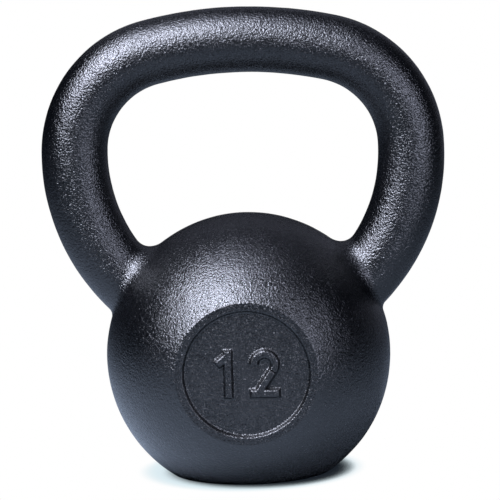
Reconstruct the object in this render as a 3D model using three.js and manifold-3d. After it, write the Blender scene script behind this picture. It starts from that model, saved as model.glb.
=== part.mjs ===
// Cast-iron kettlebell: a ball with flat faces, a bent round handle, and a plugged core pocket.
// Millimetres, +Z up. The origin is the middle of the base. X runs across the handle, and the front is -Y.

import * as THREE from 'three';
import { mergeVertices } from 'three/addons/utils/BufferGeometryUtils.js';
import Module from 'manifold-3d';

// Ball
const BALL_RADIUS = 70.5;
const BALL_HEIGHT = 58.2;          // ball centre above the floor
const FACE_DISTANCE = 61.5;        // flat faces in front of and behind the ball centre
const RECESS_RADIUS = 30.3;
const RECESS_DEPTH = 2.2;

// Handle: five arcs in the XZ plane, each tangent to the next, mirrored about x = 0
const CROWN_TOP = 214.7;           // centreline at the middle of the crown
const CROWN_RADIUS = 193.6;
const CORNER_RADIUS = 50.6;
const HORN_RADIUS = 91.4;
const CROWN_END = 13.15;           // degrees from vertical at which each arc ends
const CORNER_END = 87.5;
const HORN_END = 145;
const GRIP_RADIUS = 16.1;
const HORN_SWELL = 0.45;           // extra radius of the horns, gained between these two angles
const SWELL_START = 60;
const SWELL_END = 115;

// Raised numerals, as high as the recess is deep
const DIGIT_HEIGHT = 23;
const DIGIT_WIDTH = 14;
const DIGIT_SPACING = 17.5;        // between the middles of the two digits
const STROKE = 3.9;

// Core pocket and its plug, on the ball's vertical axis
const PLUG_RADIUS = 18;
const PLUG_THICKNESS = 8;
const PLUG_RECESS = 0.8;           // plug face above the base face
const PLUG_CHAMFER = 1;
const POCKET_RADIUS = 15.5;
const POCKET_LENGTH = 53;
const BALLAST_LENGTH = 29;

// Fits and facets
const GAP = 0.3;                   // clear space between a piece and the seat it is fixed in
const BALL_SEGMENTS = 60;
const BALL_RINGS = 28;
const GRIP_SIDES = 24;
const GRIP_STEPS = 60;
const ROUND_SEGMENTS = 48;
const DIGIT_SEGMENTS = 5;

const COAT = { color: 0x1b1d21, roughness: 0.55, metalness: 0.35 };
const PLUG_IRON = { color: 0x3a3b3d, roughness: 0.6, metalness: 0.6 };
const SHOT = { color: 0x7d7f82, roughness: 0.45, metalness: 0.9 };

const wasm = await Module();
wasm.setup();

const radians = THREE.MathUtils.degToRad;
const degrees = THREE.MathUtils.radToDeg;

// A closed three.js geometry as a solid that can be joined and cut.
function toSolid(geometry) {
  const bare = geometry.clone();
  bare.deleteAttribute('normal');
  bare.deleteAttribute('uv');
  const merged = mergeVertices(bare, 1e-4);
  return new wasm.Manifold(new wasm.Mesh({
    numProp: 3,
    vertProperties: new Float32Array(merged.attributes.position.array),
    triVerts: new Uint32Array(merged.index.array),
  }));
}

function toGeometry(solid) {
  const { vertProperties, triVerts } = solid.getMesh();
  const geometry = new THREE.BufferGeometry();
  geometry.setAttribute('position', new THREE.BufferAttribute(vertProperties, 3));
  geometry.setIndex(new THREE.BufferAttribute(triVerts, 1));
  geometry.computeVertexNormals();
  return geometry;
}

function piece(name, solid, finish) {
  const mesh = new THREE.Mesh(toGeometry(solid), new THREE.MeshStandardMaterial(finish));
  mesh.name = name;
  return mesh;
}

// A solid of revolution about Z, from a profile of [radius, height] points that starts and ends on the axis.
function turned(profile, segments) {
  const points = profile.map(([radius, height]) => new THREE.Vector2(radius, height));
  return toSolid(new THREE.LatheGeometry(points, segments).rotateX(Math.PI / 2));
}

function upright(radius, bottom, top) {
  return turned([[0, bottom], [radius, bottom], [radius, top], [0, top]], ROUND_SEGMENTS);
}

// ---- Handle ----

// The arch's centreline, from the left horn's end over the crown to the right horn's end.
class ArchCentreline extends THREE.Curve {
  constructor(hornEnd) {
    super();
    const crown = new THREE.Vector2(0, CROWN_TOP - CROWN_RADIUS);
    const corner = nextCentre(crown, CROWN_RADIUS, CORNER_RADIUS, CROWN_END);
    const horn = nextCentre(corner, CORNER_RADIUS, HORN_RADIUS, CORNER_END);
    this.path = new THREE.Path();
    this.arcs = [];
    this.addArc(-horn.x, horn.y, HORN_RADIUS, -hornEnd, -CORNER_END);
    this.addArc(-corner.x, corner.y, CORNER_RADIUS, -CORNER_END, -CROWN_END);
    this.addArc(0, crown.y, CROWN_RADIUS, -CROWN_END, CROWN_END);
    this.addArc(corner.x, corner.y, CORNER_RADIUS, CROWN_END, CORNER_END);
    this.addArc(horn.x, horn.y, HORN_RADIUS, CORNER_END, hornEnd);
  }

  // Angles are in degrees from vertical, positive towards +X.
  addArc(x, z, radius, from, to) {
    this.path.absarc(x, z, radius, radians(90 - from), radians(90 - to), true);
    this.arcs.push({ x, z, radius, from, to });
  }

  getPoint(t, target = new THREE.Vector3()) {
    const point = this.path.getPoint(t);
    return target.set(point.x, 0, point.y);
  }

  // The centreline point nearest to (x, z), and its angle from vertical in degrees.
  nearest(x, z) {
    let best = { distance: Infinity };
    for (const arc of this.arcs) {
      const angle = THREE.MathUtils.clamp(degrees(Math.atan2(x - arc.x, z - arc.z)), arc.from, arc.to);
      const pointX = arc.x + arc.radius * Math.sin(radians(angle));
      const pointZ = arc.z + arc.radius * Math.cos(radians(angle));
      const distance = Math.hypot(x - pointX, z - pointZ);
      if (distance < best.distance) best = { distance, angle, x: pointX, z: pointZ };
    }
    return best;
  }
}

// Centre of the arc that carries on from another one, tangent to it at the given angle from vertical.
function nextCentre(centre, radius, nextRadius, angle) {
  const shift = radius - nextRadius;
  const x = centre.x + shift * Math.sin(radians(angle));
  const z = centre.y + shift * Math.cos(radians(angle));
  return new THREE.Vector2(x, z);
}

// Moves the bar's surface away from its centreline where the horns are thicker than the crown.
function swellHorns(bar, centreline) {
  const { position } = bar.attributes;
  for (let i = 0; i < position.count; i += 1) {
    const [x, y, z] = [position.getX(i), position.getY(i), position.getZ(i)];
    const middle = centreline.nearest(x, z);
    const share = THREE.MathUtils.smoothstep(Math.abs(middle.angle), SWELL_START, SWELL_END);
    const growth = 1 + (share * HORN_SWELL) / GRIP_RADIUS;
    position.setXYZ(i, middle.x + growth * (x - middle.x), growth * y, middle.z + growth * (z - middle.z));
  }
}

// A full circle gets two sides for each curve segment.
function bentBar(radius, hornEnd) {
  const section = new THREE.Shape();
  section.absarc(0, 0, radius, 0, 2 * Math.PI, false);
  const centreline = new ArchCentreline(hornEnd);
  const bar = new THREE.ExtrudeGeometry(section, {
    steps: GRIP_STEPS,
    curveSegments: GRIP_SIDES / 2,
    extrudePath: centreline,
  });
  swellHorns(bar, centreline);
  return toSolid(bar);
}

// The space that the bar's ends sit in: the bar, larger all round by the gap.
function hornSockets() {
  const gapAngle = degrees(GAP / HORN_RADIUS);
  return bentBar(GRIP_RADIUS + GAP, HORN_END + gapAngle);
}

// ---- Bell ----

function ball() {
  const lowest = Math.asin(BALL_HEIGHT / BALL_RADIUS);
  const profile = [[0, 0]];
  for (let ring = 0; ring < BALL_RINGS; ring += 1) {
    const angle = -lowest + (lowest + Math.PI / 2) * (ring / BALL_RINGS);
    profile.push([BALL_RADIUS * Math.cos(angle), BALL_HEIGHT + BALL_RADIUS * Math.sin(angle)]);
  }
  profile.push([0, BALL_HEIGHT + BALL_RADIUS]);
  return turned(profile, BALL_SEGMENTS);
}

// Everything between the two flat faces.
function faceSlab() {
  const width = 3 * BALL_RADIUS;
  const slab = new THREE.BoxGeometry(width, 2 * FACE_DISTANCE, width);
  return toSolid(slab.translate(0, 0, BALL_HEIGHT));
}

// A round recess in one flat face; side is -1 at the front and 1 at the back.
function recess(side) {
  const disc = new THREE.CylinderGeometry(RECESS_RADIUS, RECESS_RADIUS, 2 * RECESS_DEPTH, ROUND_SEGMENTS);
  return toSolid(disc.translate(0, side * FACE_DISTANCE, BALL_HEIGHT));
}

function digitOne() {
  const top = DIGIT_HEIGHT / 2;
  const shape = new THREE.Shape();
  shape.moveTo(-STROKE / 2, -top);
  shape.lineTo(STROKE / 2, -top);
  shape.lineTo(STROKE / 2, top);
  shape.lineTo(-STROKE / 2, top);
  shape.lineTo(-1.4 * STROKE, top - STROKE);
  shape.lineTo(-1.4 * STROKE, top - 2.2 * STROKE);
  shape.lineTo(-STROKE / 2, top - 1.4 * STROKE);
  return shape;
}

// A round bowl at the top, a slanting stroke and a straight foot.
function digitTwo() {
  const half = DIGIT_WIDTH / 2;
  const bottom = -DIGIT_HEIGHT / 2;
  const bowl = DIGIT_HEIGHT / 2 - half;
  const turn = radians(-35);
  const inner = half - STROKE;
  const shape = new THREE.Shape();
  shape.moveTo(-half, bottom);
  shape.lineTo(half, bottom);
  shape.lineTo(half, bottom + STROKE);
  shape.lineTo(-half + 1.5 * STROKE, bottom + STROKE);
  shape.absarc(0, bowl, half, turn, Math.PI, false);
  shape.lineTo(-inner, bowl);
  shape.absarc(0, bowl, inner, Math.PI, turn, true);
  shape.lineTo(-half, bottom + STROKE);
  return shape;
}

// A digit's outline stands up in the front recess, from just under its floor to the flat face.
function raised(shape, x) {
  const depth = 2 * RECESS_DEPTH;
  const digit = new THREE.ExtrudeGeometry(shape, {
    depth,
    bevelEnabled: false,
    curveSegments: DIGIT_SEGMENTS,
  });
  digit.rotateX(Math.PI / 2);
  return toSolid(digit.translate(x, depth - FACE_DISTANCE, BALL_HEIGHT));
}

// The stepped hole in the base: a wide seat for the plug, then the pocket.
function corePocket() {
  const shoulder = PLUG_RECESS + PLUG_THICKNESS + GAP;
  return turned([
    [0, -1],
    [PLUG_RADIUS + GAP, -1],
    [PLUG_RADIUS + GAP, shoulder],
    [POCKET_RADIUS, shoulder],
    [POCKET_RADIUS, shoulder + POCKET_LENGTH],
    [0, shoulder + POCKET_LENGTH],
  ], ROUND_SEGMENTS);
}

function bell() {
  return ball()
    .intersect(faceSlab())
    .subtract(recess(-1))
    .subtract(recess(1))
    .add(raised(digitOne(), -DIGIT_SPACING / 2))
    .add(raised(digitTwo(), DIGIT_SPACING / 2))
    .subtract(hornSockets())
    .subtract(corePocket());
}

// ---- Core ----

function basePlug() {
  const bottom = PLUG_RECESS;
  const top = bottom + PLUG_THICKNESS;
  return turned([
    [0, bottom],
    [PLUG_RADIUS - PLUG_CHAMFER, bottom],
    [PLUG_RADIUS, bottom + PLUG_CHAMFER],
    [PLUG_RADIUS, top],
    [0, top],
  ], ROUND_SEGMENTS);
}

// The shot lies on the plug; it is drawn as one slug.
function ballast() {
  const bottom = PLUG_RECESS + PLUG_THICKNESS + GAP;
  return upright(POCKET_RADIUS - GAP, bottom, bottom + BALLAST_LENGTH);
}

const kettlebell = new THREE.Group();
kettlebell.add(piece('bell', bell(), COAT));
kettlebell.add(piece('handle', bentBar(GRIP_RADIUS, HORN_END), COAT));
kettlebell.add(piece('base_plug', basePlug(), PLUG_IRON));
kettlebell.add(piece('calibration_ballast', ballast(), SHOT));

export default kettlebell;
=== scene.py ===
import math

import bmesh
import bpy
import numpy as np
from mathutils import Matrix, Vector, noise


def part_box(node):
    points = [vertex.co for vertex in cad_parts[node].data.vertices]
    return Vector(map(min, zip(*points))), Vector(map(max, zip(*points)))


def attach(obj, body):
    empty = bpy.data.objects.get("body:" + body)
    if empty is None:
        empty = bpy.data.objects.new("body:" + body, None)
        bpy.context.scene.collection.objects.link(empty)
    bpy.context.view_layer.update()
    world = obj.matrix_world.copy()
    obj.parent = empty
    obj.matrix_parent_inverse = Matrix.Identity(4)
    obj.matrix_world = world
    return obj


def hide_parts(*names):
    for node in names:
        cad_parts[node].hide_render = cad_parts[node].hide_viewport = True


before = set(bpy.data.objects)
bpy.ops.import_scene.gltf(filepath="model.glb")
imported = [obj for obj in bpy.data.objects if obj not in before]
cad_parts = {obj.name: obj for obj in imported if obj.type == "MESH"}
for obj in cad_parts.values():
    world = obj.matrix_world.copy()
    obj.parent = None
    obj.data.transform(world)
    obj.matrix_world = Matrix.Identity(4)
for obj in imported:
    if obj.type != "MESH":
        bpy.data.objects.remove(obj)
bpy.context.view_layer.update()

# A black powder-coated iron kettlebell. The meshes are worked out in millimetres and stored in metres.
# +Z is up, the handle lies in the XZ plane, the marked face looks along -Y, and the base stands on z = 0.

MM = 0.001
bell_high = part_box("bell")[1] / MM
handle_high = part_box("handle")[1] / MM
plug_low, plug_high = (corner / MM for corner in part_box("base_plug"))
ballast_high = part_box("calibration_ballast")[1] / MM

# Ball
BALL_HEIGHT = 58.2
BALL_RADIUS = bell_high.z - BALL_HEIGHT
BALL_CENTRE = np.array([0.0, 0.0, BALL_HEIGHT])
FACE_DISTANCE = bell_high.y
FACE_EDGE = 1.0          # rounding where a flat face meets the ball
BASE_EDGE = 2.2
RECESS_RADIUS = 30.3
RECESS_DEPTH = 2.2
WALL_ROUNDING = 0.8      # at the top and the foot of the recess's wall and of the numerals' sides
WALL_SLOPE = math.radians(64.0)
WALL_BEND = WALL_ROUNDING * math.sin(WALL_SLOPE)    # width of each rounded part
WALL_STRAIGHT_DROP = RECESS_DEPTH - 2.0 * WALL_ROUNDING * (1.0 - math.cos(WALL_SLOPE))
WALL_WIDTH = 2.0 * WALL_BEND + WALL_STRAIGHT_DROP / math.tan(WALL_SLOPE)

# Handle: tangent arcs in the XZ plane, with angles in degrees from vertical
HORN_SWELL = 0.45         # extra radius of the horns, gained between these two angles
SWELL_START, SWELL_END = 60.0, 115.0
HORN_GRIP = handle_high.y
GRIP_RADIUS = HORN_GRIP - HORN_SWELL
CROWN_TOP = handle_high.z - GRIP_RADIUS
CROWN_RADIUS, CROWN_END = 193.6, 13.15
CORNER_RADIUS, CORNER_END = 50.6, 87.5
HORN_RADIUS, HORN_END = 91.4, 145.0
ROOT_CUT = 121.0         # where the bell's skin gives way to the handle's
ROOT_FILLET_OUTSIDE = 2.2
ROOT_FILLET_INSIDE = 9.0
SHOULDER = 0.6           # the horn's buried end is this much thinner

# Raised numerals
DIGIT_HEIGHT = 23.0
DIGIT_WIDTH = 14.0
DIGIT_SPACING = 17.5
STROKE = 3.9

# Core
PLUG_RADIUS = plug_high.x
SEAT_GAP = 0.3
POCKET_RADIUS = ballast_high.x + SEAT_GAP
POCKET_LENGTH = 53.0

# Unevenness of the casting and its coat: height, size of a bump and a shift of the pattern
WAVES = (
    (0.16, 27.0, (0.0, 0.0, 0.0)),
    (0.045, 7.0, (9.0, 4.0, 2.0)),
    (0.016, 2.6, (3.0, 8.0, 5.0)),
)
EVEN_BASE = 8.0          # the unevenness fades out over this height above the floor

# Mesh sizes
SKIN_STEP = 1.32
GRIP_SIDES = 104
CORE_SIDES = 64
CORE_OVERLAP = 6.0       # degrees by which the core's horns reach past the root cut
PATCH_SEGMENTS = 192
PROFILE_STEP = 0.5
WALL_STEPS = 16
BASE_STEP = 1.5
FRONT_GRID = 0.31
BACK_GRID = 1.0

# Coat: sizes of its texture, in millimetres
GRAIN_SIZE = 0.78
PEBBLE_SIZE = 1.1
FINE_GRAIN_SIZE = 0.36
SPECKLE_SIZE = 0.9
TONE_SIZE = 35.0
GRAIN_HEIGHT = 0.34
# CREASE_REACH is how far the painted shade in creases reaches.
CREASE_REACH = 3.0
FACE_BORDER = 4.0        # width of the soft border of the smoother, duller coat on a flat face
TURNING_PITCH = 0.9      # of the rings turned in the plug

# Light, with colours as linear RGB
KEY_TINT = (0.90, 0.95, 1.14)
FILL_TINT = (0.88, 0.93, 1.18)
FLOOR_TINT = (0.88, 0.96, 1.16)
AIM_HEIGHT = 0.115       # metres
FLOOR_HALF = 12.0        # metres
WASH_SIZE = 0.25         # metres

# Camera, in metres, degrees and millimetres of focal length
CAMERA_DISTANCE = 1.4686
CAMERA_ELEVATION = 7.4
CAMERA_AZIMUTH = 1.26
CAMERA_ROLL = -1.70
CAMERA_LENS = 213.2
CAMERA_AIM = Vector((0.00214, 0.0, 0.1102))


def smoothstep(low, high, value):
    t = np.clip((value - low) / (high - low), 0.0, 1.0)
    return t * t * (3.0 - 2.0 * t)


def make_object(name, points, faces):
    mesh = bpy.data.meshes.new(name)
    mesh.from_pydata((np.asarray(points) * MM).tolist(), [], faces)
    work = bmesh.new()
    work.from_mesh(mesh)
    bmesh.ops.remove_doubles(work, verts=work.verts, dist=1e-7)
    bmesh.ops.recalc_face_normals(work, faces=work.faces)
    work.to_mesh(mesh)
    work.free()
    mesh.shade_smooth()
    mesh.set_sharp_from_angle(angle=math.radians(50))
    obj = bpy.data.objects.new(name, mesh)
    bpy.context.scene.collection.objects.link(obj)
    return obj


# ---- The arch's centreline ----

def next_centre(centre, radius, next_radius, angle):
    shift = radius - next_radius
    a = math.radians(angle)
    return centre[0] + shift * math.sin(a), centre[1] + shift * math.cos(a)


CROWN_CENTRE = (0.0, CROWN_TOP - CROWN_RADIUS)
CORNER_CENTRE = next_centre(CROWN_CENTRE, CROWN_RADIUS, CORNER_RADIUS, CROWN_END)
HORN_CENTRE = next_centre(CORNER_CENTRE, CORNER_RADIUS, HORN_RADIUS, CORNER_END)
ARCS = [
    (CROWN_CENTRE, CROWN_RADIUS, 0.0, CROWN_END),
    (CORNER_CENTRE, CORNER_RADIUS, CROWN_END, CORNER_END),
    (HORN_CENTRE, HORN_RADIUS, CORNER_END, HORN_END),
]


def centreline_distance(x, z):
    """Distance in the XZ plane from points on the +X side to the arch's centreline."""
    nearest = None
    for (cx, cz), radius, start, end in ARCS:
        angle = np.arctan2(x - cx, z - cz)
        angle = np.clip(angle, math.radians(start), math.radians(end))
        apart = np.hypot(x - cx - radius * np.sin(angle), z - cz - radius * np.cos(angle))
        nearest = apart if nearest is None else np.minimum(nearest, apart)
    return nearest


def casting_distance(points):
    """Signed distance to the ball and the arch together, with a fillet where they meet."""
    x, y, z = np.abs(points[:, 0]), points[:, 1], points[:, 2]
    ball = np.linalg.norm(points - BALL_CENTRE, axis=1) - BALL_RADIUS
    arch = np.hypot(centreline_distance(x, z), y) - HORN_GRIP
    side = (np.hypot(x - HORN_CENTRE[0], z - HORN_CENTRE[1]) - HORN_RADIUS) / HORN_GRIP
    outside = smoothstep(-1.0, 1.0, side)
    fillet = ROOT_FILLET_INSIDE + (ROOT_FILLET_OUTSIDE - ROOT_FILLET_INSIDE) * outside
    near_ball = np.maximum(fillet - ball, 0.0)
    near_arch = np.maximum(fillet - arch, 0.0)
    return np.maximum(fillet, np.minimum(ball, arch)) - np.hypot(near_ball, near_arch)


def casting_normal(points):
    """The direction straight out of the surface, from the distance on both sides of each point."""
    step = 0.05
    slopes = []
    for axis in np.eye(3):
        rise = casting_distance(points + step * axis) - casting_distance(points - step * axis)
        slopes.append(rise / (2 * step))
    normal = np.stack(slopes, axis=1)
    return normal / np.linalg.norm(normal, axis=1, keepdims=True)


def on_casting(points):
    """The points moved onto the exact surface."""
    for _ in range(8):
        points = points - casting_distance(points)[:, None] * casting_normal(points)
    return points


def unevenness(points):
    """How far the cast and coated surface stands off its ideal shape, in millimetres."""
    heights = []
    for point in points:
        p = Vector(point)
        heights.append(sum(height * noise.noise(p / size + Vector(shift)) for height, size, shift in WAVES))
    return np.array(heights) * smoothstep(0.0, EVEN_BASE, points[:, 2])


def uneven(points):
    return points + unevenness(points)[:, None] * casting_normal(points)


# ---- Handle ----

def horn_frame(angle):
    """Point on the right horn's centreline, and the directions along it and away from its arc's centre."""
    a = math.radians(angle)
    outward = np.array([math.sin(a), 0.0, math.cos(a)])
    along = np.array([math.cos(a), 0.0, -math.sin(a)])
    centre = np.array([HORN_CENTRE[0], 0.0, HORN_CENTRE[1]])
    return centre + HORN_RADIUS * outward, along, outward


def grip_radius(angle):
    return GRIP_RADIUS + HORN_SWELL * float(smoothstep(SWELL_START, SWELL_END, angle))


def half_arch(step):
    """Centres, outward directions and radii of the rings from the crown's middle to the right root cut."""
    frames = []
    for (cx, cz), radius, start, end in ARCS:
        end = min(end, ROOT_CUT)
        count = max(2, round(radius * math.radians(end - start) / step))
        for i in range(count):
            angle = start + (end - start) * i / count
            a = math.radians(angle)
            outward = np.array([math.sin(a), 0.0, math.cos(a)])
            frames.append((np.array([cx, 0.0, cz]) + radius * outward, outward, grip_radius(angle)))
    centre, _, outward = horn_frame(ROOT_CUT)
    frames.append((centre, outward, HORN_GRIP))
    return frames


def ring(centre, outward, radius, sides=GRIP_SIDES):
    turn = np.linspace(0.0, 2.0 * math.pi, sides, endpoint=False)
    across = np.array([0.0, 1.0, 0.0])
    return centre + radius * (np.cos(turn)[:, None] * outward + np.sin(turn)[:, None] * across)


def mirrored(frames):
    flip = np.array([-1.0, 1.0, 1.0])
    return [(centre * flip, outward * flip, radius) for centre, outward, radius in reversed(frames)]


def horn_rings(start, radius, count):
    """Rings of one radius on the right horn, from an angle to the horn's end."""
    rings = []
    for angle in np.linspace(start, HORN_END, count):
        centre, _, outward = horn_frame(angle)
        rings.append((centre, outward, radius))
    return rings


def tube_faces(ring_count, sides):
    faces = []
    for i in range(ring_count - 1):
        for j in range(sides):
            k = (j + 1) % sides
            a, b = i * sides, (i + 1) * sides
            faces.append((a + j, a + k, b + k, b + j))
    return faces


def make_handle():
    right = half_arch(SKIN_STEP)
    arch = mirrored(right)[:-1] + right
    buried = horn_rings(ROOT_CUT, HORN_GRIP - SHOULDER, 12)
    skin = np.concatenate([ring(*r) for r in arch])
    left_end = np.concatenate([ring(*r) for r in mirrored(buried)])
    right_end = np.concatenate([ring(*r) for r in buried])
    points = np.concatenate([left_end, uneven(skin), right_end])
    count = len(points) // GRIP_SIDES
    faces = tube_faces(count, GRIP_SIDES)
    last = (count - 1) * GRIP_SIDES
    faces.append(tuple(range(GRIP_SIDES)))
    faces.append(tuple(range(last, last + GRIP_SIDES)))
    return make_object("arched_handle", points, faces)


# ---- Bell ----

class Skin:
    """Points and faces that grow piece by piece."""

    def __init__(self):
        self.points = []
        self.faces = []

    def add(self, points):
        first = len(self.points)
        self.points.extend(np.asarray(points).tolist())
        return list(range(first, first + len(points)))

    def join_rings(self, outer, inner):
        count = len(outer)
        for j in range(count):
            k = (j + 1) % count
            self.faces.append((outer[j], outer[k], inner[k], inner[j]))

    def zip_loops(self, outer, outer_angles, inner, inner_angles):
        """Fills the strip between two closed loops that go round the same axis."""
        a_order, b_order = np.argsort(outer_angles), np.argsort(inner_angles)
        a = [outer[i] for i in a_order]
        b = [inner[i] for i in b_order]
        a_turn = list(np.asarray(outer_angles)[a_order])
        b_turn = list(np.asarray(inner_angles)[b_order])
        a_turn.append(a_turn[0] + 2.0 * math.pi)
        b_turn.append(b_turn[0] + 2.0 * math.pi)
        i = j = 0
        while i < len(a) or j < len(b):
            next_a = a_turn[i + 1] if i < len(a) else math.inf
            next_b = b_turn[j + 1] if j < len(b) else math.inf
            here_a, here_b = a[i % len(a)], b[j % len(b)]
            if next_a <= next_b:
                self.faces.append((here_a, a[(i + 1) % len(a)], here_b))
                i += 1
            else:
                self.faces.append((here_a, b[(j + 1) % len(b)], here_b))
                j += 1


class Axis:
    """A direction out of the ball's centre, with two directions across it."""

    def __init__(self, out, across, up):
        self.out, self.across, self.up = (np.array(v, float) for v in (out, across, up))

    def place(self, radius, turn, height):
        radius, turn, height = np.broadcast_arrays(radius, turn, height)
        sideways = (radius * np.cos(turn))[:, None] * self.across
        upwards = (radius * np.sin(turn))[:, None] * self.up
        return BALL_CENTRE + sideways + upwards + height[:, None] * self.out

    def place_grid(self, u, v, height):
        return BALL_CENTRE + u[:, None] * self.across + v[:, None] * self.up + height[:, None] * self.out

    def turns(self, points):
        away = np.asarray(points) - BALL_CENTRE
        return np.arctan2(away @ self.up, away @ self.across)

    def radius_and_height(self, points):
        away = np.asarray(points) - BALL_CENTRE
        return np.hypot(away @ self.across, away @ self.up), away @ self.out


FRONT = Axis((0, -1, 0), (1, 0, 0), (0, 0, 1))
BACK = Axis((0, 1, 0), (-1, 0, 0), (0, 0, 1))
BASE = Axis((0, 0, -1), (1, 0, 0), (0, 1, 0))
FACE_RIM = 36.0          # where a flat face's patch joins the ball's skin
BASE_RIM = 43.0
FLATS = ((FRONT, FACE_RIM), (BACK, FACE_RIM), (BASE, BASE_RIM))


def remeshed_core():
    """An even quad mesh of the ball and both horn roots, near enough to be moved onto the exact surface."""
    ball = bmesh.new()
    bmesh.ops.create_icosphere(ball, subdivisions=6, radius=BALL_RADIUS * MM)
    bmesh.ops.translate(ball, verts=ball.verts, vec=Vector(BALL_CENTRE) * MM)
    mesh = bpy.data.meshes.new("core")
    ball.to_mesh(mesh)
    ball.free()
    rings = horn_rings(ROOT_CUT - CORE_OVERLAP, HORN_GRIP, 24)
    joined = bmesh.new()
    joined.from_mesh(mesh)
    for side in (rings, mirrored(rings)):
        points = np.concatenate([ring(*r, CORE_SIDES) for r in side]) * MM
        verts = [joined.verts.new(p) for p in points]
        faces = tube_faces(len(side), CORE_SIDES)
        faces.append(tuple(reversed(range(CORE_SIDES))))
        faces.append(tuple(range(len(points) - CORE_SIDES, len(points))))
        made = [joined.faces.new([verts[i] for i in face]) for face in faces]
        bmesh.ops.recalc_face_normals(joined, faces=made)
    joined.to_mesh(mesh)
    joined.free()
    core = bpy.data.objects.new("core", mesh)
    bpy.context.scene.collection.objects.link(core)
    remesh = core.modifiers.new("even", "REMESH")
    remesh.mode = "VOXEL"
    remesh.voxel_size = SKIN_STEP * MM
    evaluated = core.evaluated_get(bpy.context.evaluated_depsgraph_get())
    result = bpy.data.meshes.new_from_object(evaluated)
    points = np.empty(len(result.vertices) * 3)
    result.vertices.foreach_get("co", points)
    faces = [tuple(p.vertices) for p in result.polygons]
    bpy.data.objects.remove(core)
    bpy.data.meshes.remove(mesh)
    bpy.data.meshes.remove(result)
    return points.reshape(-1, 3) / MM, faces


def openings(points):
    """For each part of the skin that is cut away: the points that go, and where its rim's points move."""
    cuts = []
    for axis, rim in FLATS:
        radius, height = axis.radius_and_height(points)
        gone = (radius < rim) & (height > 0)
        rim_height = math.sqrt(BALL_RADIUS**2 - rim**2)
        cuts.append((gone, lambda p, a=axis, r=rim, h=rim_height: a.place(r, a.turns(p), h)))
    for side in (1.0, -1.0):
        flip = np.array([side, 1.0, 1.0])
        centre, along, _ = horn_frame(ROOT_CUT)
        centre, along = centre * flip, along * flip
        away = points - centre
        near = np.linalg.norm(away, axis=1) < 2.0 * HORN_GRIP
        gone = ((away @ along) < 0) & near

        def onto_ring(p, c=centre, t=along):
            out = p - c
            out = out - (out @ t)[:, None] * t
            return c + HORN_GRIP * out / np.linalg.norm(out, axis=1, keepdims=True)

        cuts.append((gone, onto_ring))
    return cuts


def boundary_vertices(faces):
    seen = {}
    for face in faces:
        for a, b in zip(face, face[1:] + face[:1]):
            key = (a, b) if a < b else (b, a)
            seen[key] = seen.get(key, 0) + 1
    return sorted({v for edge, count in seen.items() if count == 1 for v in edge})


def arc(centre, radius, start, end, count):
    """Points (radius from the axis, height) on an arc, but for its first. Angles are in degrees."""
    turn = np.radians(np.linspace(start, end, count + 1))[1:]
    return [(centre[0] + radius * math.sin(t), centre[1] + radius * math.cos(t)) for t in turn]


def straight(start, end, step):
    count = max(1, math.ceil(math.dist(start, end) / step))
    return [tuple(p) for p in np.linspace(start, end, count + 1)[1:]]


def rounded_cut(rim, flat, edge):
    """The ball's profile from the rim, over a rounded edge, to the start of a flat that is this far out."""
    centre_height = flat - edge
    centre_radius = math.sqrt((BALL_RADIUS - edge) ** 2 - centre_height**2)
    tangent = math.degrees(math.atan2(centre_radius, centre_height))
    rim_angle = math.degrees(math.asin(rim / BALL_RADIUS))
    profile = arc((0.0, 0.0), BALL_RADIUS, rim_angle, tangent, 4)
    return profile + arc((centre_radius, centre_height), edge, tangent, 0.0, 6)


def wall_drop(across):
    """How far a wall has dropped at a distance across it from its top."""
    from_end = np.maximum(np.minimum(across, WALL_WIDTH - across), 0.0)
    bent = np.minimum(from_end, WALL_BEND)
    rounding = WALL_ROUNDING - np.sqrt(WALL_ROUNDING**2 - bent**2)
    drop = rounding + (from_end - bent) * math.tan(WALL_SLOPE)
    return np.where(across < WALL_WIDTH / 2, drop, RECESS_DEPTH - drop)


def face_profile(floor_radius):
    """From the ball, over the flat face's edge and its narrow land, down the recess's wall to the floor."""
    profile = rounded_cut(FACE_RIM, FACE_DISTANCE, FACE_EDGE)
    wall_top = RECESS_RADIUS + WALL_WIDTH / 2
    profile += straight(profile[-1], (wall_top, FACE_DISTANCE), PROFILE_STEP)
    for across in np.linspace(0.0, WALL_WIDTH, WALL_STEPS + 1)[1:]:
        profile.append((wall_top - across, FACE_DISTANCE - float(wall_drop(across))))
    return profile + straight(profile[-1], (floor_radius, FACE_DISTANCE - RECESS_DEPTH), PROFILE_STEP)


def box_distance(u, v, centre, half, slant=0.0):
    c, s = math.cos(slant), math.sin(slant)
    du, dv = u - centre[0], v - centre[1]
    along, across = np.abs(c * du + s * dv) - half[0], np.abs(c * dv - s * du) - half[1]
    outside = np.hypot(np.maximum(along, 0.0), np.maximum(across, 0.0))
    return outside + np.minimum(np.maximum(along, across), 0.0)


def stroke_distance(u, v, start, end):
    """A straight stroke between two points, cut square at both."""
    middle = ((start[0] + end[0]) / 2, (start[1] + end[1]) / 2)
    slant = math.atan2(end[1] - start[1], end[0] - start[0])
    return box_distance(u, v, middle, (math.dist(start, end) / 2, STROKE / 2), slant)


def digit_one(u, v):
    """A stem with a slanting flag at its top."""
    top = DIGIT_HEIGHT / 2
    stem = stroke_distance(u, v, (0.0, -top), (0.0, top))
    flag = stroke_distance(u, v, (-1.35 * STROKE, top - 1.75 * STROKE), (0.1 * STROKE, top - 0.5 * STROKE))
    return np.minimum(stem, np.maximum(flag, v - top))


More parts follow.
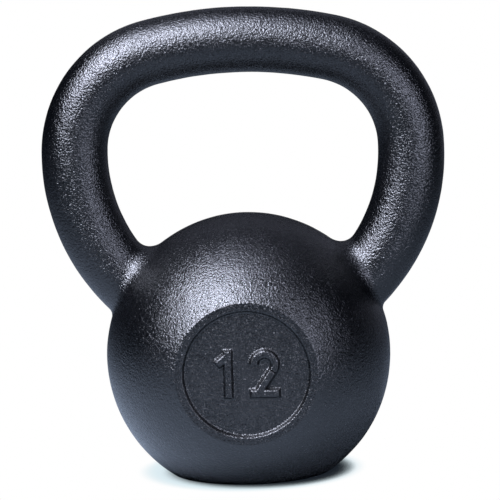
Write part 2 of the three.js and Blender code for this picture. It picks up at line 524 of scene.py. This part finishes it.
def digit_two(u, v):
    """A round bowl on top, a slanting stroke from its end and a straight foot."""
    half, bottom = DIGIT_WIDTH / 2, -DIGIT_HEIGHT / 2
    bowl, middle = DIGIT_HEIGHT / 2 - half, half - STROKE / 2
    end = math.radians(-38.0)
    curve = np.abs(np.hypot(u, v - bowl) - middle) - STROKE / 2
    turn = np.arctan2(v - bowl, u)
    in_bowl = (turn >= end) | (turn <= -math.pi + 0.02)
    curve = np.where(in_bowl, curve, 100.0)
    knee = (middle * math.cos(end), bowl + middle * math.sin(end))
    slant = stroke_distance(u, v, knee, (-half + 0.75 * STROKE, bottom + 0.35 * STROKE))
    foot = stroke_distance(u, v, (-half, bottom + STROKE / 2), (half, bottom + STROKE / 2))
    return np.minimum(np.minimum(curve, np.maximum(slant, bottom - v)), foot)


def numeral_height(u, v):
    """Height above the recess's floor: the numerals' tops are level with the flat face."""
    one = digit_one(u + DIGIT_SPACING / 2, v)
    two = digit_two(u - DIGIT_SPACING / 2, v)
    return RECESS_DEPTH - wall_drop(np.minimum(one, two) + WALL_WIDTH / 2)


def plain_floor(u, v):
    return np.zeros_like(u)


def add_patch(skin, axis, loop, profile):
    """Rings along the profile, zipped to the loop that is already in the skin. Returns the last ring."""
    turn = np.linspace(-math.pi, math.pi, PATCH_SEGMENTS, endpoint=False)
    previous = None
    for radius, height in profile:
        current = skin.add(axis.place(radius, turn, height))
        if previous is None:
            skin.zip_loops(loop, axis.turns([skin.points[i] for i in loop]), current, turn)
        else:
            skin.join_rings(previous, current)
        previous = current
    return previous


def add_floor(skin, axis, rim, floor_radius, spacing, relief):
    """A square grid over the round floor, zipped to the rim round it."""
    count = int(floor_radius / spacing)
    steps = np.arange(-count, count + 1) * spacing
    u, v = (g.ravel() for g in np.meshgrid(steps, steps, indexing="ij"))
    side = len(steps)
    inside = np.hypot(u, v) < floor_radius - 0.6 * spacing
    cells = []
    for i in range(side - 1):
        for j in range(side - 1):
            corners = (i * side + j, (i + 1) * side + j, (i + 1) * side + j + 1, i * side + j + 1)
            if all(inside[c] for c in corners):
                cells.append(corners)
    used = sorted({c for cell in cells for c in cell})
    u, v = u[used], v[used]
    floor = FACE_DISTANCE - RECESS_DEPTH
    indices = skin.add(axis.place_grid(u, v, floor + relief(u, v)))
    renamed = dict(zip(used, indices))
    cells = [tuple(renamed[c] for c in cell) for cell in cells]
    skin.faces.extend(cells)
    edge = boundary_vertices(cells)
    rim_turns = axis.turns([skin.points[i] for i in rim])
    skin.zip_loops(rim, rim_turns, edge, axis.turns([skin.points[i] for i in edge]))


def base_profile():
    """From the ball over the base's edge, across the flat, into the plug's seat and up the pocket."""
    seat = PLUG_RADIUS + SEAT_GAP
    lip = 0.5
    floor = BALL_HEIGHT
    shoulder = floor - plug_high.z - SEAT_GAP
    profile = rounded_cut(BASE_RIM, floor, BASE_EDGE)
    profile += straight(profile[-1], (seat + lip, floor), BASE_STEP)
    profile += arc((seat + lip, floor - lip), lip, 0.0, -90.0, 5)
    profile += straight(profile[-1], (seat, shoulder), BASE_STEP)
    profile += straight(profile[-1], (POCKET_RADIUS, shoulder), BASE_STEP)
    return profile + straight(profile[-1], (POCKET_RADIUS, shoulder - POCKET_LENGTH), 4 * BASE_STEP)


def make_bell():
    """The ball's skin is trimmed, its flats are patched in, and the horns' openings are capped."""
    points, faces = remeshed_core()
    points = on_casting(points)
    cuts = openings(points)
    gone = np.any([cut for cut, _ in cuts], axis=0)
    faces = [face for face in faces if not gone[list(face)].any()]
    used = sorted({v for face in faces for v in face})
    renamed = {old: new for new, old in enumerate(used)}
    faces = [tuple(renamed[v] for v in face) for face in faces]
    points = points[used]
    edge = np.array(boundary_vertices(faces))
    loops = []
    owners = []
    for axis, rim in FLATS:
        radius, height = axis.radius_and_height(points[edge])
        owners.append((radius < rim + 3 * SKIN_STEP) & (height > 0))
    for side in (1.0, -1.0):
        taken = np.any(owners[:3], axis=0)
        owners.append(~taken & (points[edge][:, 0] * side > 0))
    for (_, move), mine in zip(cuts, owners):
        loop = edge[mine]
        points[loop] = move(points[loop])
        loops.append(loop.tolist())
    skin = Skin()
    skin.add(points)
    skin.faces.extend(faces)
    floor_radius = RECESS_RADIUS - WALL_WIDTH
    for axis, loop, spacing, relief in (
        (FRONT, loops[0], FRONT_GRID, numeral_height),
        (BACK, loops[1], BACK_GRID, plain_floor),
    ):
        rim = add_patch(skin, axis, loop, face_profile(floor_radius))
        add_floor(skin, axis, rim, floor_radius, spacing, relief)
    top = add_patch(skin, BASE, loops[2], base_profile())
    skin.faces.append(tuple(top))
    for loop in loops[3:]:
        side = np.array(skin.points)[loop].mean(axis=0)
        cap = skin.add([side])[0]
        outward = horn_frame(ROOT_CUT)[2]
        flip = np.array([1.0 if side[0] > 0 else -1.0, 1.0, 1.0])
        away = np.array(skin.points)[loop] - side
        turn = np.arctan2(away[:, 1], away @ (outward * flip))
        order = [loop[i] for i in np.argsort(turn)]
        for a, b in zip(order, order[1:] + order[:1]):
            skin.faces.append((a, b, cap))
    return make_object("bell_casting", uneven(np.array(skin.points)), skin.faces)


# ---- Base plug ----

def make_plug():
    """A turned disc: its rounded lower edge is seen from under the bell."""
    lip = 1.0
    low, high = plug_low.z, plug_high.z
    profile = [(0.0, low)]
    profile += straight(profile[-1], (PLUG_RADIUS - lip, low), 1.0)
    turn = np.radians(np.linspace(0.0, 90.0, 7))[1:]
    profile += [(PLUG_RADIUS - lip + lip * math.sin(t), low + lip - lip * math.cos(t)) for t in turn]
    profile += [(PLUG_RADIUS, high), (0.0, high)]
    turn = np.linspace(0.0, 2.0 * math.pi, PATCH_SEGMENTS, endpoint=False)
    points = []
    for radius, height in profile[1:-1]:
        circle = [radius * np.cos(turn), radius * np.sin(turn), np.full_like(turn, height)]
        points.append(np.stack(circle, axis=1))
    faces = tube_faces(len(points), PATCH_SEGMENTS)
    last = (len(points) - 1) * PATCH_SEGMENTS
    faces.append(tuple(range(PATCH_SEGMENTS)))
    faces.append(tuple(range(last, last + PATCH_SEGMENTS)))
    return make_object("plug_disc", np.concatenate(points), faces)


bell = make_bell()
handle = make_handle()
plug = make_plug()


# ---- Materials ----

class Nodes:
    """A small helper that adds shader nodes and links them."""

    def __init__(self, name):
        self.material = bpy.data.materials.new(name)
        self.material.use_nodes = True
        self.tree = self.material.node_tree
        self.shader = self.tree.nodes["Principled BSDF"]
        self.place = self.tree.nodes.new("ShaderNodeTexCoord").outputs["Object"]

    def link(self, value, socket):
        if isinstance(value, bpy.types.NodeSocket):
            self.tree.links.new(value, socket)
        else:
            socket.default_value = value

    def noise(self, size, detail=2.0, offset=0.0):
        """Noise whose features are about this many millimetres across."""
        node = self.tree.nodes.new("ShaderNodeTexNoise")
        node.noise_dimensions = "3D"
        self.link(self.shifted(offset), node.inputs["Vector"])
        node.inputs["Scale"].default_value = 1.0 / (size * MM)
        node.inputs["Detail"].default_value = detail
        node.inputs["Roughness"].default_value = 0.5
        return node.outputs["Fac"]

    def cells(self, size, smoothness=0.6):
        """Distance to the middle of the nearest cell, for a pebbled surface."""
        node = self.tree.nodes.new("ShaderNodeTexVoronoi")
        node.feature = "SMOOTH_F1"
        self.link(self.place, node.inputs["Vector"])
        node.inputs["Scale"].default_value = 1.0 / (size * MM)
        node.inputs["Smoothness"].default_value = smoothness
        return node.outputs["Distance"]

    def component(self, vector, axis):
        node = self.tree.nodes.new("ShaderNodeSeparateXYZ")
        self.link(vector, node.inputs["Vector"])
        return node.outputs[axis]

    def shifted(self, offset):
        if not offset:
            return self.place
        node = self.tree.nodes.new("ShaderNodeVectorMath")
        node.operation = "ADD"
        self.link(self.place, node.inputs[0])
        node.inputs[1].default_value = (offset, offset, offset)
        return node.outputs["Vector"]

    def math(self, operation, a, b=0.0):
        node = self.tree.nodes.new("ShaderNodeMath")
        node.operation = operation
        self.link(a, node.inputs[0])
        self.link(b, node.inputs[1])
        return node.outputs["Value"]

    def distance(self, a, b):
        return self.math("SQRT", self.math("ADD", self.math("MULTIPLY", a, a), self.math("MULTIPLY", b, b)))

    def remap(self, value, low, high, to_low, to_high):
        node = self.tree.nodes.new("ShaderNodeMapRange")
        node.interpolation_type = "SMOOTHSTEP"
        self.link(value, node.inputs["Value"])
        for name, number in (("From Min", low), ("From Max", high), ("To Min", to_low), ("To Max", to_high)):
            node.inputs[name].default_value = number
        return node.outputs["Result"]

    def openness(self, reach, low, high, towards=None):
        """How open a point is within this many millimetres, from 0 for shut in to 1 for open."""
        node = self.tree.nodes.new("ShaderNodeAmbientOcclusion")
        node.samples = 16
        node.inputs["Distance"].default_value = reach * MM
        if towards is not None:
            direction = self.tree.nodes.new("ShaderNodeCombineXYZ")
            for socket, value in zip(direction.inputs, towards):
                socket.default_value = value
            self.link(direction.outputs["Vector"], node.inputs["Normal"])
        return self.remap(node.outputs["AO"], low, high, 0.0, 1.0)

    def blend(self, share, a, b):
        node = self.tree.nodes.new("ShaderNodeMix")
        node.data_type = "RGBA"
        self.link(share, node.inputs["Factor"])
        self.link(a, node.inputs["A"])
        self.link(b, node.inputs["B"])
        return node.outputs["Result"]

    def bump(self, height, distance, strength):
        node = self.tree.nodes.new("ShaderNodeBump")
        self.link(height, node.inputs["Height"])
        node.inputs["Distance"].default_value = distance * MM
        self.link(strength, node.inputs["Strength"])
        return node.outputs["Normal"]


def powder_coat():
    """Fine-grained satin black powder coat, faintly blue, with small changes of tone and gloss, and painted
    shade in its creases.
    """
    n = Nodes("black_powder_coat")
    tone = n.noise(TONE_SIZE, detail=3.0)
    speckle = n.noise(SPECKLE_SIZE, offset=0.3)
    dark = (0.0003, 0.0004, 0.0006, 1.0)
    light = (0.0006, 0.0007, 0.0010, 1.0)
    base = n.blend(n.remap(tone, 0.35, 0.65, 0.0, 1.0), dark, light)
    dust = (0.0020, 0.0024, 0.0034, 1.0)
    n.link(n.blend(n.remap(speckle, 0.58, 0.72, 0.0, 0.5), base, dust), n.shader.inputs["Base Color"])
    gloss = n.math("ADD", n.remap(tone, 0.3, 0.7, 0.23, 0.28), n.remap(speckle, 0.4, 0.7, -0.04, 0.05))
    upwards = n.math("SUBTRACT", n.component(n.place, "Z"), BALL_HEIGHT * MM)
    from_axis = n.distance(n.component(n.place, "X"), upwards)
    in_ring = n.remap(from_axis, RECESS_RADIUS * MM, (RECESS_RADIUS + FACE_BORDER) * MM, 1.0, 0.0)
    depth = n.math("ABSOLUTE", n.component(n.place, "Y"))
    far_out = n.math("GREATER_THAN", depth, 0.8 * FACE_DISTANCE * MM)
    on_face = n.math("MULTIPLY", in_ring, far_out)
    n.link(n.math("ADD", gloss, n.math("MULTIPLY", on_face, 0.045)), n.shader.inputs["Roughness"])
    pebbles = n.math("MULTIPLY", n.cells(PEBBLE_SIZE), 0.5)
    grain = n.math("ADD", n.noise(GRAIN_SIZE, detail=1.5), pebbles)
    fine = n.noise(FINE_GRAIN_SIZE, detail=1.0, offset=0.7)
    height = n.math("ADD", grain, n.math("MULTIPLY", fine, 0.3))
    strength = n.math("SUBTRACT", 1.0, n.math("MULTIPLY", on_face, 0.05))
    n.link(n.bump(height, GRAIN_HEIGHT, strength), n.shader.inputs["Normal"])
    # Painted shade: reflection is turned down in creases and recesses, the more so the more shut in a point
    # is.
    openness = n.openness(CREASE_REACH, 0.30, 0.78)
    n.link(n.remap(openness, 0.0, 1.0, 0.16, 0.5), n.shader.inputs["Specular IOR Level"])
    return n.material


def plug_steel():
    """Turned steel with fine rings, under a thin coat."""
    n = Nodes("turned_plug")
    radius = n.distance(n.component(n.place, "X"), n.component(n.place, "Y"))
    rings = n.math("SINE", n.math("MULTIPLY", radius, 2.0 * math.pi / (TURNING_PITCH * MM)))
    tone = n.noise(6.0, detail=3.0)
    coated, worn = (0.020, 0.022, 0.026, 1.0), (0.050, 0.052, 0.058, 1.0)
    n.link(n.blend(tone, coated, worn), n.shader.inputs["Base Color"])
    n.link(n.remap(tone, 0.3, 0.7, 0.38, 0.5), n.shader.inputs["Roughness"])
    n.link(n.bump(n.math("ADD", rings, n.noise(1.2)), 0.03, 0.8), n.shader.inputs["Normal"])
    n.shader.inputs["Metallic"].default_value = 0.6
    return n.material


def steel_shot():
    """Bare round shot, packed together."""
    n = Nodes("steel_shot")
    tone = n.noise(3.0)
    dull, bright = (0.30, 0.30, 0.31, 1.0), (0.46, 0.46, 0.47, 1.0)
    n.link(n.blend(tone, dull, bright), n.shader.inputs["Base Color"])
    n.link(n.remap(tone, 0.3, 0.7, 0.3, 0.45), n.shader.inputs["Roughness"])
    n.link(n.bump(n.cells(2.5, smoothness=0.1), -0.6, 1.0), n.shader.inputs["Normal"])
    n.shader.inputs["Metallic"].default_value = 0.9
    return n.material


COAT = powder_coat()
PIECES = (
    (bell, "bell", "powder_coat", COAT),
    (handle, "handle", "powder_coat", COAT),
    (plug, "base_plug", "plug_steel", plug_steel()),
)
for made, node, slot, material in PIECES:
    made.data.materials.append(material)
    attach(made, "root")
    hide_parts(node)

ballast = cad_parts["calibration_ballast"]
ballast.data.materials.clear()
ballast.data.materials.append(steel_shot())


# ---- Floor, light and camera ----

def make_floor():
    """The camera sees this floor white, with painted shadow close to what stands on it; reflections see it
    lit.
    """
    mesh = bpy.data.meshes.new("floor")
    corners = [(x * FLOOR_HALF, y * FLOOR_HALF, 0) for x, y in ((-1, -1), (1, -1), (1, 1), (-1, 1))]
    mesh.from_pydata(corners, [], [(0, 1, 2, 3)])
    floor = bpy.data.objects.new("floor", mesh)
    bpy.context.scene.collection.objects.link(floor)
    n = Nodes("pale_floor")
    n.shader.inputs["Base Color"].default_value = (0.78, 0.87, 0.97, 1.0)
    n.shader.inputs["Roughness"].default_value = 0.9
    n.shader.inputs["Specular IOR Level"].default_value = 0.0
    # Painted shadow: the camera's white turns to a pale blue soft shade and a dark contact shadow by the
    # kettlebell.
    white, pale, dark = (1.0, 1.0, 1.0, 1.0), (0.72, 0.84, 0.89, 1.0), (0.01, 0.014, 0.02, 1.0)
    # The dark painted shadow leans to the right, as if cast by a lamp in this direction.
    towards_lamp = (-0.53, 0.17, 0.83)
    painted_soft_shade = n.blend(n.openness(12.0, 0.35, 0.95), pale, white)
    painted_contact_shadow = n.blend(n.openness(11.0, 0.15, 0.60, towards_lamp), dark, painted_soft_shade)
    seen = n.tree.nodes.new("ShaderNodeEmission")
    n.link(painted_contact_shadow, seen.inputs["Color"])
    path = n.tree.nodes.new("ShaderNodeLightPath")
    mix = n.tree.nodes.new("ShaderNodeMixShader")
    n.link(path.outputs["Is Camera Ray"], mix.inputs["Fac"])
    n.link(n.shader.outputs["BSDF"], mix.inputs[1])
    n.link(seen.outputs["Emission"], mix.inputs[2])
    n.link(mix.outputs["Shader"], n.tree.nodes["Material Output"].inputs["Surface"])
    mesh.materials.append(n.material)
    return floor


def from_aim(azimuth, elevation):
    """The direction of a light or camera, in degrees: azimuth 0 is in front and 90 on the right."""
    a, e = math.radians(azimuth), math.radians(elevation)
    return Vector((math.sin(a) * math.cos(e), -math.cos(a) * math.cos(e), math.sin(e)))


def softbox(name, azimuth, elevation, distance, width, height, radiance, colour):
    """A rectangular light aimed at the kettlebell, which the camera doesn't see. Sizes are in metres."""
    data = bpy.data.lights.new(name, "AREA")
    data.shape = "RECTANGLE"
    data.size, data.size_y = width, height
    data.energy = radiance * math.pi * width * height
    data.color = colour
    light = bpy.data.objects.new(name, data)
    away = from_aim(azimuth, elevation)
    light.location = Vector((0.0, 0.0, AIM_HEIGHT)) + distance * away
    light.rotation_mode = "QUATERNION"
    light.rotation_quaternion = away.to_track_quat("Z", "Y")
    light.visible_camera = False
    bpy.context.scene.collection.objects.link(light)
    return light


def light_only(light, objects):
    """The light falls on these objects alone, though the others still shade them from it."""
    receivers = bpy.data.collections.new(light.name + "_receivers")
    for obj in objects:
        receivers.objects.link(obj)
    light.light_linking.receiver_collection = receivers


def make_lights(floor):
    shown = [made for made, *_ in PIECES]
    lights = (
        softbox("key", -37.0, 42.0, 1.0, 0.45, 0.58, 45.0, KEY_TINT),
        softbox("key_surround", -34.0, 42.0, 1.02, 0.68, 0.9, 4.0, KEY_TINT),
        softbox("right_fill", 40.5, 14.0, 1.0, 0.36, 0.5, 12.4, FILL_TINT),
        softbox("overhead", -30.0, 72.0, 1.5, 1.0, 0.8, 5.0, FILL_TINT),
        softbox("back_panel", 180.0, 35.0, 1.5, 1.6, 0.8, 0.25, FILL_TINT),
        softbox("right_rim", 148.0, 6.0, 1.2, 0.8, 0.7, 0.19, FILL_TINT),
    )
    for light in lights:
        light_only(light, shown)
    washes = (
        softbox("floor_wash", -50.0, 50.0, 0.34, WASH_SIZE, WASH_SIZE, 10.4, FLOOR_TINT),
        softbox("floor_wash_right", 60.0, 50.0, 0.36, WASH_SIZE, WASH_SIZE, 0.25, FLOOR_TINT),
        softbox("floor_wash_front", -6.0, 38.0, 0.34, WASH_SIZE, WASH_SIZE, 4.2, FLOOR_TINT),
    )
    for wash in washes:
        light_only(wash, [floor])


def make_world():
    """White to the camera, and nearly black to everything else, so that the softboxes do the lighting."""
    world = bpy.data.worlds.new("studio")
    world.use_nodes = True
    nodes, links = world.node_tree.nodes, world.node_tree.links
    seen = nodes["Background"]
    seen.inputs["Color"].default_value = (1.0, 1.0, 1.0, 1.0)
    seen.inputs["Strength"].default_value = 1.0
    lit = nodes.new("ShaderNodeBackground")
    lit.inputs["Color"].default_value = (0.84, 0.92, 1.20, 1.0)
    lit.inputs["Strength"].default_value = 0.012
    path = nodes.new("ShaderNodeLightPath")
    mix = nodes.new("ShaderNodeMixShader")
    links.new(path.outputs["Is Camera Ray"], mix.inputs["Fac"])
    links.new(lit.outputs["Background"], mix.inputs[1])
    links.new(seen.outputs["Background"], mix.inputs[2])
    links.new(mix.outputs["Shader"], nodes["World Output"].inputs["Surface"])
    bpy.context.scene.world = world


def make_camera():
    data = bpy.data.cameras.new("camera")
    data.lens = CAMERA_LENS
    data.sensor_width = 36.0
    data.clip_start, data.clip_end = 0.05, 50.0
    camera = bpy.data.objects.new("camera", data)
    a = math.radians(CAMERA_AZIMUTH)
    back = from_aim(CAMERA_AZIMUTH, CAMERA_ELEVATION)
    right = Vector((math.cos(a), math.sin(a), 0.0))
    up = back.cross(right)
    turn = Matrix((right, up, back)).transposed() @ Matrix.Rotation(math.radians(CAMERA_ROLL), 3, "Z")
    camera.matrix_world = Matrix.Translation(CAMERA_AIM + CAMERA_DISTANCE * back) @ turn.to_4x4()
    bpy.context.scene.collection.objects.link(camera)
    bpy.context.scene.camera = camera


make_lights(make_floor())
make_world()
make_camera()
bpy.context.scene.view_settings.view_transform = "Standard"
